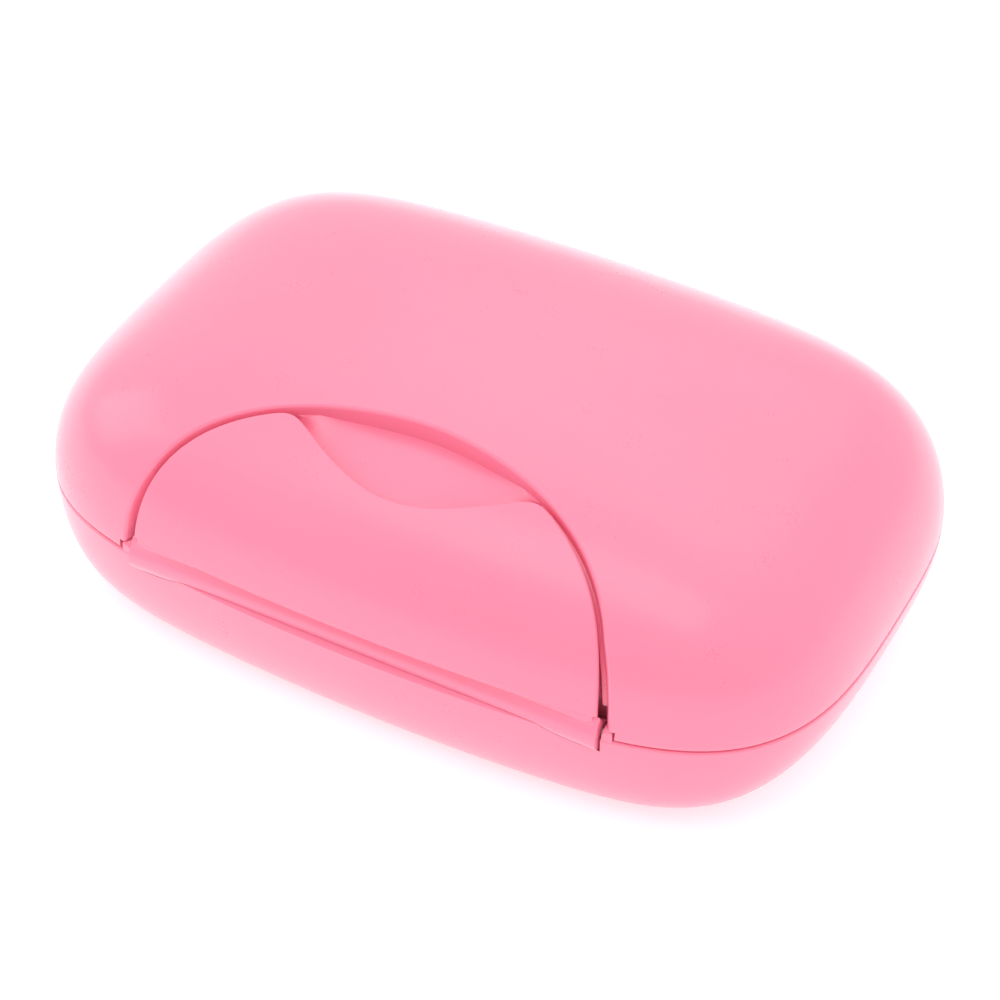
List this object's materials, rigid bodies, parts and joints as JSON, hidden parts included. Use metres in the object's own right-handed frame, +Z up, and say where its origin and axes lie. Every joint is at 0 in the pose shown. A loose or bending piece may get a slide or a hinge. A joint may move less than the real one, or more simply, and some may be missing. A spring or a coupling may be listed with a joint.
{
  "type": "hinged soap box",
  "caption": "Pebble-shaped hinged travel soap box with an arched flush front clasp, a lid recess to press it open, a rim seal and a slotted drain tray.",
  "frame": {"origin": "middle of the box's footprint on the surface that it stands on", "axes": "+X along the length, to the right as seen from the clasp; the clasp is at the front, -Y; the lid hinge is at the back, +Y; +Z up"},
  "size_m": [0.115, 0.0796, 0.0382],
  "materials": {
    "pink_plastic": "satin",
    "seal_silicone": "matt",
    "tray_plastic": "satin",
    "pin_steel": "bright"
  },
  "bodies": {
    "base": {"base_shell": "pink_plastic", "seal_ring": "seal_silicone", "drain_tray": "tray_plastic", "lid_hinge_pin_left": "pin_steel", "lid_hinge_pin_right": "pin_steel", "clasp_hinge_pin_left": "pin_steel", "clasp_hinge_pin_right": "pin_steel"},
    "lid": {"lid_shell": "pink_plastic"},
    "clasp": {"front_clasp": "pink_plastic"}
  },
  "joints": [
    {"name": "lid_hinge", "type": "hinge", "parent": "base", "child": "lid", "pos_m": [0, 0.03762, 0.01645], "axis": [-1, 0, 0], "range_deg": [0, 110]},
    {"name": "clasp_hinge", "type": "hinge", "parent": "base", "child": "clasp", "pos_m": [0, -0.03637, 0.01645], "axis": [1, 0, 0], "range_deg": [0, 50]}
  ]
}
